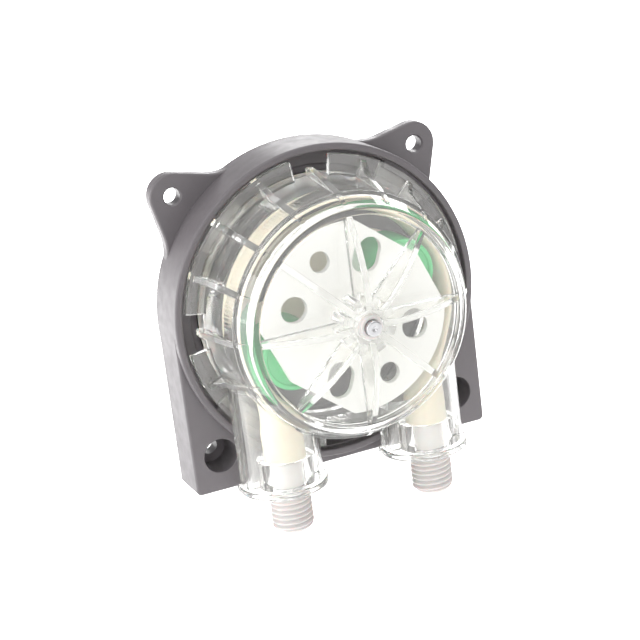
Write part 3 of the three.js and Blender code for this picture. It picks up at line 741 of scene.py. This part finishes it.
def gusset(angle):
    """A tall plate on the face whose front edge rises in a curve from the rim to the boss."""
    root, end, low = BOSS_R - 0.5, FACE_R + 0.3, FACE_DEPTH - 0.8
    outline = [(root, low), (end, low), (end, GUSSET_TOP[0][1]), *GUSSET_TOP, (root, BOSS_FRONT)]
    return radial_plate(rounded(outline, 0), FIN_THICK, angle, 0.3)


def stub(angle):
    """A short, thick rib that stiffens the boss between two gussets."""
    half = STUB_WIDTH / 2
    rib = block(BOSS_R - 0.5, STUB_REACH, FACE_DEPTH - 0.8, STUB_FRONT, -half, half)
    return turned(bevelled(rib, 0.4), angle)


def lug(angle):
    return bevelled(ring_sector(WALL_R - 1, LUG_R, angle, LUG_SPAN, LUG_BACK, LUG_FRONT), 0.25)


def hook(angle):
    return bevelled(
        ring_sector(WALL_R - 1, LUG_R - 0.3, angle, TAB_SPAN, SKIRT_BACK, TAB_BACK - 0.3), 0.25
    )


def port_prism(half, back, bottom, top, x, edge=0.0):
    """A port: flat at the back and round at the front, raised from bottom to top."""
    front = arc(0, PORT_ARC_DEPTH, half, 0, 180, 48)
    outline = [(-half, back), (half, back)] + front
    solid = prism("port", outline, bottom, top, lambda a, b, h: (x + a, b, h))
    return bevelled(solid, edge) if edge else solid


def port_outside(x):
    body = port_prism(PORT_HALF, PORT_BACK, PORT_BOTTOM, PORT_TOP, x, 0.5)
    lip = port_prism(PORT_HALF + PORT_LIP, PORT_BACK, PORT_BOTTOM, PORT_BOTTOM + PORT_LIP_HEIGHT, x, 0.5)
    return join(body, lip)


def port_hollow(x):
    """The room inside a port, open at the bottom so that the fitting's neck shows."""
    half, back = PORT_HALF - PORT_SKIN, PORT_BACK + PORT_SKIN
    return port_prism(half, back, PORT_BOTTOM - 1, PORT_TOP - PORT_ROOF, x, 0.6)


def port_sleeve(x):
    """The sleeve inside a port, round the fitting's shank and moulded to the port's back."""
    profile = bar(SLEEVE_R, SLEEVE_BOTTOM, SLEEVE_TOP, 0.5)
    sleeve = lathe("sleeve", profile, 96, (x, PORT_DEPTH), upright=True)
    room = port_prism(PORT_HALF - 0.6, PORT_BACK + 0.6, SLEEVE_BOTTOM - 1, PORT_TOP, x)
    return combine("INTERSECT", sleeve, room)


def head(material):
    angles = [k * 22.5 for k in range(16)]
    free = [a for a in angles if not 210 < a < 330 or a == 270]
    body = join(
        head_blank(),
        lathe("boss", rounded([(0, INNER_DEPTH), (BOSS_R, INNER_DEPTH), (BOSS_R, BOSS_FRONT, 0.4),
                               (0, BOSS_FRONT)]), 96),
        *[lug(a) for a in QUARTERS],
        *[hook(a) for a in QUARTERS],
        *[fin(a) for a in free],
        *[shoulder_web(a) for a in free],
        *[gusset(k * 45) for k in range(8)],
        *[stub(k * 45 + 22.5) for k in range(8)],
        *[port_outside(side * PORT_X) for side in (-1, 1)],
    )
    cut(body, head_cavity(), *[port_hollow(side * PORT_X) for side in (-1, 1)])
    join(body, *[port_sleeve(side * PORT_X) for side in (-1, 1)])
    bores = [post(SHANK_R + GAP, PORT_BOTTOM - 1, SLEEVE_TOP + 1, side * PORT_X) for side in (-1, 1)]
    cut(body, tube_solid(0.4, 40, 160), disc(BUSH_R + GAP, INNER_DEPTH - 1, HEAD.front + 1), *bores)
    return finished(body, "head_moulding", "head_housing", material)


# ---------------------------------------------------------------- tube and fittings


def smooth_route(points, samples):
    """Evenly spaced points and directions along a centripetal Catmull-Rom curve."""
    ends = [points[0] * 2 - points[1], *points, points[-1] * 2 - points[-2]]
    dense = []
    for p0, p1, p2, p3 in zip(ends, ends[1:], ends[2:], ends[3:]):
        t1 = (p1 - p0).length ** 0.5
        t2 = t1 + (p2 - p1).length ** 0.5
        t3 = t2 + (p3 - p2).length ** 0.5
        for k in range(24):
            t = t1 + (t2 - t1) * k / 24
            a1 = p0.lerp(p1, t / t1)
            a2 = p1.lerp(p2, (t - t1) / (t2 - t1))
            a3 = p2.lerp(p3, (t - t2) / (t3 - t2))
            b1 = a1.lerp(a2, t / t2)
            b2 = a2.lerp(a3, (t - t1) / (t3 - t1))
            dense.append(b1.lerp(b2, (t - t1) / (t2 - t1)))
    dense.append(points[-1])
    lengths = [0.0]
    for a, b in zip(dense, dense[1:]):
        lengths.append(lengths[-1] + (b - a).length)
    even, i = [], 0
    for k in range(samples + 1):
        want = lengths[-1] * k / samples
        while i < len(lengths) - 2 and lengths[i + 1] < want:
            i += 1
        share = (want - lengths[i]) / (lengths[i + 1] - lengths[i])
        even.append((dense[i].lerp(dense[i + 1], share), (dense[i + 1] - dense[i]).normalized()))
    return even


def tube_route():
    """(x, depth, z) points: up from one port, round the raceway and down to the other."""
    right = [
        Vector((PORT_X, PORT_DEPTH, TUBE_END)), Vector((PORT_X, PORT_DEPTH, -33)),
        Vector((PORT_X + 0.4, 24.6, -27.5)), Vector((PORT_X + 2, 24.1, -22.5)),
        Vector((PORT_X + 4.3, BAND_DEPTH, -17.6)),
    ]
    left = [Vector((-p.x, p.y, p.z)) for p in reversed(right)]
    band = arc(0, 0, BAND_R, 180 - BAND_END_ANGLE, BAND_END_ANGLE, 16)
    return right + [Vector((x, BAND_DEPTH, z)) for x, z in band] + left


def tube_solid(margin, sides, steps):
    """The tube, round at the ports and pressed flat where the rollers run, grown by a margin."""
    vertices, rings = [], []
    for point, along in smooth_route(tube_route(), steps):
        across = Vector((along.z, 0, -along.x)).normalized()
        t = min(1, max(0, (point.z - FLAT_FROM) / FLAT_OVER))
        flat = t * t * (3 - 2 * t)
        thick = TUBE_R + (BAND_THICK - TUBE_R) * flat + margin
        wide = TUBE_R + (BAND_HALF_WIDTH - TUBE_R) * flat + margin
        ring = []
        for k in range(sides):
            angle = 2 * math.pi * k / sides
            p = point + across * (thick * math.cos(angle))
            ring.append(len(vertices))
            vertices.append((p.x, p.y + wide * math.sin(angle), p.z))
        rings.append(ring)
    faces = [rings[0], rings[-1]]
    for ring, following in zip(rings, rings[1:]):
        for k in range(sides):
            m = (k + 1) % sides
            faces.append((ring[k], ring[m], following[m], following[k]))
    return mesh_object("tube", vertices, faces)


def tube(material):
    bores = [post(TUBE_BORE_R, TUBE_END - 1, -30, side * PORT_X) for side in (-1, 1)]
    body = cut(tube_solid(0, 48, 240), *bores)
    return finished(body, "tube_moulding", "pump_tube", material, 40)


def threaded(radius, z, angle):
    """The radius of a thread's helix at a height and an angle, fading out at both ends."""
    if not FITTING.bottom - EPS <= z <= THREAD_TOP + EPS or radius < BORE_R + EPS:
        return radius
    turn = (z / THREAD_PITCH + angle / (2 * math.pi)) % 1
    ridge = 0.5 - 0.5 * math.cos(2 * math.pi * turn)
    fade = min(1, max(0, (THREAD_TOP - z) / 1.0))
    chamfer = THREAD_R - 1.3 + (z - FITTING.bottom) * 0.9
    return min(THREAD_R - THREAD_DEPTH * (1 - ridge**0.8 * fade), chamfer)


def fitting(side, node, name, material):
    """Barb, shank, neck and threaded nipple, turned as one piece with a true helix."""
    barb = TUBE_BORE_R - 0.3
    shank_top = TUBE_END - 0.3
    upper = rounded([
        (BORE_R, FITTING.top, 0.2), (barb - 0.7, FITTING.top, 0.2), (barb, FITTING.top - 1.8, 0.2),
        (barb - 0.4, FITTING.top - 2.2, 0.1), (barb - 0.4, shank_top, 0.1), (SHANK_R, shank_top, 0.4),
        (SHANK_R, SHANK_BOTTOM, 0.8), (NECK_R, SHANK_BOTTOM, 0.2), (NECK_R, THREAD_TOP + 0.4, 0.2),
        (THREAD_R - 0.7, THREAD_TOP + 0.4, 0.2), (THREAD_R - 0.85, THREAD_TOP, 0),
    ])
    rows = int((THREAD_TOP - FITTING.bottom) / THREAD_PITCH * 12)
    drop = FITTING.bottom - THREAD_TOP
    thread = [(THREAD_R, THREAD_TOP + drop * k / rows) for k in range(1, rows + 1)]
    end = [(BORE_R + 0.2, FITTING.bottom + EPS), (BORE_R, FITTING.bottom + 0.2)]
    profile = upper + thread + end
    axis = (side * PORT_X, PORT_DEPTH)

    def shape(radius, z, angle):
        return threaded(radius, z, angle) if radius == THREAD_R else radius

    body = lathe(name, profile, 96, axis, upright=True, shape=shape)
    return finished(body, name, node, material, 45)


def neck_ring(side, node, name, material):
    box = extent(node)
    inner, outer = NECK_RING_BORE_R, SHANK_R + 0.1
    corners = [(inner, box.top), (outer, box.top), (outer, box.bottom), (inner, box.bottom)]
    body = lathe(name, rounded(corners), 96, (side * PORT_X, PORT_DEPTH), upright=True)
    return finished(body, name, node, material)


# ---------------------------------------------------------------- rotor


def yoke(material):
    """The lobed flange behind the rollers, the hub on the shaft and the web across it."""
    lobes = [
        disc(LOBE_R, YOKE_BACK, YOKE_FLANGE_FRONT, polar(LOBE_ORBIT, angle)) for angle in ROLLER_ANGLES
    ]
    flange = bevelled(join(disc(YOKE_FLANGE_R, YOKE_BACK, YOKE_FLANGE_FRONT), *lobes), 0.4)
    reach, half = YOKE_WEB_REACH, YOKE_WEB_HALF
    web = turned(block(-reach, reach, YOKE_BACK, YOKE.front, -half, half), ROLLER_ANGLES[0] + 90)
    body = join(flange, disc(HUB_R, YOKE.back, YOKE.front), bevelled(web, 0.3))
    pin_holes = [
        disc(PIN_R + GAP, PIN.back - GAP, YOKE.front + 1, polar(ROLLER_ORBIT, angle), 48)
        for angle in ROLLER_ANGLES
    ]
    pin = cross_pin(CROSS_HOLE_R, CROSS_HOLE_LENGTH)
    cut(body, disc(SHAFT_R + GAP, YOKE.back - 1, YOKE.front + 1, sides=64), *pin_holes, pin)
    return finished(body, "yoke_moulding", "rotor_yoke", material)


def cross_pin(radius, length):
    """A bar across the shaft, square to the line through the rollers."""
    pin = lathe("cross_pin", bar(radius, -length / 2, length / 2, 0.15), 32)
    return turned(laid_across(pin, CROSS_PIN_DEPTH), ROLLER_ANGLES[0] + 90)


def window(angle, inner, outer, half):
    """A tool for a round-ended window that lies along a radius of the plate."""
    outline = arc(outer, 0, half, -90, 90, 28) + arc(inner, 0, half, 90, 270, 28)
    return turned(prism("window", outline, PLATE_DISC_BACK - 1, PLATE.front + 1), angle)


def front_plate(material):
    """The white disc: trimmed flat beyond each roller, with windows and a boss for each pin."""
    body = disc(PLATE_R, PLATE_DISC_BACK, PLATE.front, sides=160)
    far = 60
    for roller_angle in ROLLER_ANGLES:
        for turn, distance in PLATE_TRIMS:
            trim = block(distance, far, PLATE_DISC_BACK - 1, PLATE.front + 1, -far, far)
            cut(body, turned(trim, roller_angle + turn))
        for turn, inner, outer, half in WINDOWS:
            cut(body, window(roller_angle + turn, inner, outer, half))
        pin = polar(ROLLER_ORBIT, roller_angle)
        join(body, disc(PLATE_BOSS_R, PLATE.back, PLATE_DISC_BACK + 0.5, pin))
        cut(body, disc(PIN_R + GAP, PLATE.back - 1, PIN.front + GAP, pin, 64))
    cut(body, disc(SHAFT_R + GAP, PLATE_DISC_BACK - 1, PLATE.front + 1, sides=64))
    bevelled(body, 0.3)
    return finished(body, "front_plate", "rotor_front_plate", material)


def roller(index, material):
    """A roller with a shallow recess in each end round its pin."""
    node = f"roller_{index + 1}"
    bore = PIN_R + 0.1
    profile = rounded([
        (bore, ROLLER.back, 0.2), (5.2, ROLLER.back, 0.1), (5.6, ROLLER.back + 0.5, 0.1),
        (8.1, ROLLER.back + 0.5, 0.1), (8.4, ROLLER.back, 0.1), (ROLLER_R, ROLLER.back, 0.7),
        (ROLLER_R, ROLLER.front, 0.7), (8.4, ROLLER.front, 0.1), (8.1, ROLLER.front - 0.5, 0.1),
        (5.6, ROLLER.front - 0.5, 0.1), (5.2, ROLLER.front, 0.1), (bore, ROLLER.front, 0.2),
    ])
    body = lathe(node, profile, 96, polar(ROLLER_ORBIT, ROLLER_ANGLES[index]))
    return finished(body, f"roller_{index + 1}_turned", node, material)


def roller_pin(index, material):
    node = f"roller_pin_{index + 1}"
    profile = bar(PIN_R, PIN.back, PIN.front, 0.3)
    body = lathe(node, profile, 48, polar(ROLLER_ORBIT, ROLLER_ANGLES[index]))
    return finished(body, f"roller_pin_{index + 1}_ground", node, material)


def drive_shaft(material):
    """The shaft with its thinner front journal and the centre mark in its tip."""
    shoulder = PLATE.front + 0.1
    profile = rounded([
        (0, SHAFT.back), (SHAFT_R, SHAFT.back, 0.5), (SHAFT_R, shoulder, 0.3),
        (JOURNAL_R, shoulder, 0.2), (JOURNAL_R, SHAFT.front, 0.5), (0.8, SHAFT.front, 0.1),
        (0, SHAFT.front - 0.8),
    ])
    body = cut(lathe("shaft", profile, 64), cross_pin(CROSS_HOLE_R, CROSS_HOLE_LENGTH))
    return finished(body, "shaft_ground", "drive_shaft", material)


def front_bush(material):
    """A flanged collar round the journal, in the head's boss."""
    box = extent("front_bush")
    bore = JOURNAL_R + 0.08
    profile = rounded([
        (bore, box.back), (BUSH_R, box.back), (BUSH_R, BOSS_FRONT), (BUSH_COLLAR_R, BOSS_FRONT),
        (BUSH_COLLAR_R, box.front, 0.3), (bore, box.front),
    ], 0.15)
    return finished(lathe("bush", profile, 64), "bush_moulded", "front_bush", material)


# ---------------------------------------------------------------- bearing, gasket and gearmotor


def plain_ring(node, name, inner, outer, material, edge=0.3):
    box = extent(node)
    corners = [(inner, box.back), (outer, box.back), (outer, box.front), (inner, box.front)]
    return finished(lathe(name, rounded(corners, edge), 96), name, node, material)


def gearbox_screw(index, material):
    """A cap screw with a hexagon socket."""
    node = f"gearbox_screw_{index + 1}"
    box = extent(node)
    centre = polar(GEARBOX_SCREW_ORBIT, GEARBOX_SCREW_ANGLES[index])
    under = box.front - SCREW_HEAD_HEIGHT
    profile = rounded([
        (0, box.back), (SCREW_R, box.back, 0.3), (SCREW_R, under, 0.1), (SCREW_HEAD_R, under, 0.15),
        (SCREW_HEAD_R, box.front, 0.4), (0, box.front),
    ])
    socket = disc(SCREW_SOCKET, box.front - SCREW_SOCKET, box.front + 1, centre, 6)
    body = cut(lathe(node, profile, 64, centre), socket)
    return finished(body, f"{node}_turned", node, material)


def gearbox_cover(material):
    """The casting bolted to the bracket: a round plate with a spigot round the shaft."""
    edge = COVER.right
    profile = rounded([
        (SHAFT_R + GAP, COVER.back), (edge, COVER.back, 0.4), (edge, -GAP, 0.8), (6, -GAP, 0.3),
        (6, COVER.front, 0.4), (SHAFT_R + GAP, COVER.front),
    ])
    body = cut(lathe("cover", profile), *gearbox_screw_holes(COVER.back + 0.5, 1))
    return finished(body, "gearbox_cover_cast", "gearbox_cover", material)


def gearbox_case(material):
    """The drawn case over the gears, with a rolled groove and shallow flutes round it."""
    outer, back, front = CASE.right, CASE.back, CASE.front
    profile = rounded([
        (0, back), (outer, back, 1.2), (outer, back + 5, 0.2), (outer - 0.5, back + 5.5, 0.3),
        (outer - 0.5, back + 6.3, 0.3), (outer, back + 6.8, 0.2), (outer, front, 0.4),
        (0, front),
    ])
    body = lathe("case", profile)
    flutes = [
        lathe("flute", bar(1.6, back + 8.2, front - 1.6, 0.6), 32, polar(outer + 0.9, k * 30 + 15))
        for k in range(12)
    ]
    cut(body, disc(SHAFT_R + GAP, -13, front + 1, sides=48), *flutes)
    return finished(body, "gearbox_case_cast", "gearbox_case", material)


def motor_can(material):
    """The motor's drawn can, with rolled ends and four crimps near its back."""
    outer, back, front = CAN.right, CAN.back, CAN.front
    profile = rounded([
        (0, back), (outer - 1, back, 0.3), (outer, back + 1, 0.8), (outer, front - 0.8, 0.6),
        (outer - 0.8, front, 0.3), (0, front),
    ])
    crimps = [
        lathe("crimp", bar(1.4, back + 1.8, back + 3.4, 0.5), 32, polar(outer + 0.7, angle))
        for angle in QUARTERS
    ]
    return finished(cut(lathe("can", profile), *crimps), "motor_can_drawn", "motor_can", material)


def motor_cap(material):
    """The moulded end cap with vent slots round its middle boss."""
    outer, back, front = CAP.right, CAP.back, CAP.front
    face = back + 1.6
    profile = rounded([
        (0, back), (5, back, 0.4), (5, face, 0.3), (outer - 0.6, face, 0.3), (outer, face + 0.6, 0.3),
        (outer, front, 0.3), (0, front),
    ])
    slots = [
        bevelled(ring_sector(7.0, 8.6, angle, 34, back - 1, face + 1.2), 0.2) for angle in (90, 270)
    ]
    vents = [ring_sector(10.2, 11.6, angle, 22, back - 1, face + 1.0) for angle in QUARTERS]
    body = cut(lathe("cap", profile), *slots, *vents)
    return finished(body, "motor_cap_moulded", "motor_end_cap", material)


def motor_terminal(index, material):
    """A stamped tab with a solder eye near its end."""
    node = f"motor_terminal_{index + 1}"
    box = extent(node)
    half = (box.top - box.bottom) / 2
    outline = [(-half, box.front), (half, box.front)]
    outline += [(half, box.back + 0.9), (half - 0.9, box.back), (-half + 0.9, box.back)]
    outline += [(-half, box.back + 0.9)]
    tab = prism(node, outline, box.left, box.right, lambda a, b, h: (h, b, a))
    eye = laid_across(disc(0.6, box.left - 1, box.right + 1, sides=32), box.back + 2.0)
    return finished(bevelled(cut(tab, eye), 0.08), f"{node}_stamped", node, material)


# ---------------------------------------------------------------- stage

FLOOR_GLOW = (-0.15, 0.25, 0.22, 2.4)  # from one place in Y to another, and the glow at each
FLOOR_HALF = 6000
SOFTBOXES = (  # name, place and size in metres, power in watts
    ("left_softbox", (-1.1, 0.1, 0.25), (0.9, 0.7), 9),
    ("rear_softbox", (0.7, 1.0, 0.55), (0.9, 0.5), 8),
    ("top_softbox", (0.15, -0.25, 1.1), (0.9, 0.7), 5),
    ("front_softbox", (-0.4, -1.15, 0.5), (0.6, 0.6), 4),
)


def floor():
    """A wide pale floor just under the ports, brightly lit behind the pump and dimmer in front."""
    half = FLOOR_HALF
    outline = [(-half, -half), (half, -half), (half, half), (-half, half)]
    plane = mesh_object("floor", [(x, y, FITTING.bottom) for x, y in outline], [(0, 1, 2, 3)])
    surface = Surface("floor_paper", (0.93, 0.93, 0.93), 0.8)
    surface.shader.inputs["Emission Color"].default_value = (1.0, 1.0, 1.0, 1.0)
    surface.uneven_gloss(40.0, 0.05)
    nodes, links = surface.nodes, surface.links
    place = nodes.new("ShaderNodeSeparateXYZ")
    glow = nodes.new("ShaderNodeMapRange")
    for socket, value in zip(("From Min", "From Max", "To Min", "To Max"), FLOOR_GLOW):
        glow.inputs[socket].default_value = value
    links.new(surface.space, place.inputs[0])
    links.new(place.outputs["Y"], glow.inputs["Value"])
    links.new(glow.outputs["Result"], surface.shader.inputs["Emission Strength"])
    plane.data.materials.append(surface.material)


def softbox(name, position, size, power):
    """A rectangular lamp that faces the pump."""
    data = bpy.data.lights.new(name, "AREA")
    data.shape = "RECTANGLE"
    data.size, data.size_y = size
    data.energy = power
    lamp = bpy.data.objects.new(name, data)
    lamp.location = position
    lamp.rotation_euler = (-Vector(position)).to_track_quat("-Z", "Y").to_euler()
    bpy.context.scene.collection.objects.link(lamp)


def sky():
    """A dim band above the floor's edge, and paler above it."""
    world = bpy.data.worlds.new("sky")
    bpy.context.scene.world = world
    world.use_nodes = True
    nodes, links = world.node_tree.nodes, world.node_tree.links
    height = nodes.new("ShaderNodeSeparateXYZ")
    ramp = nodes.new("ShaderNodeValToRGB")
    links.new(nodes.new("ShaderNodeTexCoord").outputs["Generated"], height.inputs[0])
    links.new(height.outputs["Z"], ramp.inputs["Fac"])
    stops = ((0.0, 0.4), (0.22, 0.4), (0.4, 0.85), (1.0, 0.7))
    for _ in stops[2:]:
        ramp.color_ramp.elements.new(0.5)
    for element, (position, value) in zip(ramp.color_ramp.elements, stops):
        element.position = position
        element.color = (value, value, value, 1.0)
    links.new(ramp.outputs["Color"], nodes["Background"].inputs["Color"])


def studio():
    floor()
    sky()
    for row in SOFTBOXES:
        softbox(*row)


def camera():
    """A view from the left and a little above, tilted, through a long lens."""
    azimuth, elevation, roll = (math.radians(a) for a in (-21.21, 17.45, -7.24))
    distance, shift_right, shift_up = 0.5912, 0.00406, -0.00863
    level = math.cos(elevation)
    back = Vector((math.sin(azimuth) * level, -math.cos(azimuth) * level, math.sin(elevation)))
    right = Vector((0, 0, 1)).cross(back).normalized()
    up = back.cross(right)
    tilted_right = right * math.cos(roll) + up * math.sin(roll)
    tilted_up = up * math.cos(roll) - right * math.sin(roll)
    data = bpy.data.cameras.new("camera")
    data.lens = 114.14
    data.sensor_width = 36
    data.clip_start = 0.01
    view = bpy.data.objects.new("camera", data)
    view.matrix_world = Matrix((tilted_right, tilted_up, back)).transposed().to_4x4()
    view.location = back * distance + tilted_right * shift_right + tilted_up * shift_up
    bpy.context.scene.collection.objects.link(view)
    bpy.context.scene.camera = view


def look():
    """Plain colours, and enough bounces for light to pass every wall of the clear head."""
    scene = bpy.context.scene
    scene.view_settings.view_transform = "Standard"
    scene.cycles.max_bounces = 20
    scene.cycles.glossy_bounces = 20
    scene.cycles.transmission_bounces = 20
    scene.cycles.transparent_max_bounces = 24


# ---------------------------------------------------------------- the pump

camera()
studio()
look()

STEEL = turned_steel()
GREEN = green_plastic()
NATURAL = natural_plastic()
ZINC = zinc_casting()
BRASS = brass()
RUBBER = black_rubber()

bracket(grey_plastic())
head(clear_plastic())
tube(tube_rubber())
for side, end in ((-1, "inlet"), (1, "outlet")):
    fitting(side, f"{end}_fitting", f"{end}_fitting_moulded", NATURAL)
    neck_ring(side, f"{end}_neck_ring", f"{end}_neck_ring_turned", STEEL)

yoke(ivory_plastic())
front_plate(white_plastic())
for index in range(len(ROLLER_ANGLES)):
    roller(index, GREEN)
    roller_pin(index, STEEL)
drive_shaft(STEEL)
finished(cross_pin(CROSS_PIN_R, CROSS_PIN_LENGTH), "drive_pin_ground", "drive_pin", STEEL)
front_bush(NATURAL)

plain_ring("rear_bearing_outer", "bearing_outer_ring", BEARING_OUTER_BORE_R, BEARING.right, STEEL)
plain_ring("rear_bearing_shield", "bearing_shield", BEARING_SHIELD_BORE_R, BEARING_SHIELD_R, RUBBER, 0.2)
plain_ring("rear_bearing_inner", "bearing_inner_ring", SHAFT_R + GAP, BEARING_INNER_R, STEEL)
plain_ring("head_gasket", "gasket_moulded", GASKET_BORE_R, GASKET_R, RUBBER, 0.6)

gearbox_cover(ZINC)
gearbox_case(ZINC)
for index in range(len(GEARBOX_SCREW_ANGLES)):
    gearbox_screw(index, STEEL)
motor_can(motor_steel())
motor_cap(black_plastic())
for index in range(2):
    motor_terminal(index, BRASS)
